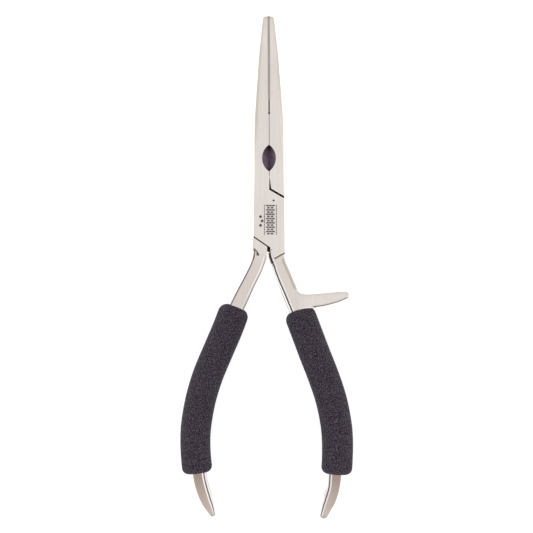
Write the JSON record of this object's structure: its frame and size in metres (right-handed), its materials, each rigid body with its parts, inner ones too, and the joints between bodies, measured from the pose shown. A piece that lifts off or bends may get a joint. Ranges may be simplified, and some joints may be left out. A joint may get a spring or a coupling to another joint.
{
  "type": "fishing pliers",
  "caption": "Long-nose fishing pliers in satin stainless steel, box joint, serrated jaws with dark cutter blades, black foam grips and a finger spur",
  "frame": {"origin": "on the pivot axis, in the back face of the joint", "axes": "+Y points to the jaw tips, +Z from the back face of the joint to its front face, +X to the side that the finger spur points to"},
  "size_m": [0.0791, 0.2298, 0.0144],
  "materials": {
    "steel": "satin",
    "pin_steel": "satin",
    "cutter_steel": "dark satin",
    "foam": "matt foam"
  },
  "bodies": {
    "box": {"box_half": "steel", "pivot_pin": "pin_steel", "right_foam_grip": "foam", "left_cutter_blade": "cutter_steel"},
    "tongue": {"tongue_half": "steel", "left_foam_grip": "foam", "right_cutter_blade": "cutter_steel"}
  },
  "joints": [
    {"name": "pivot", "type": "hinge", "parent": "box", "child": "tongue", "pos_m": [0, 0, 0.0044], "axis": [0, 0, -1], "range_deg": [0, 25]}
  ]
}
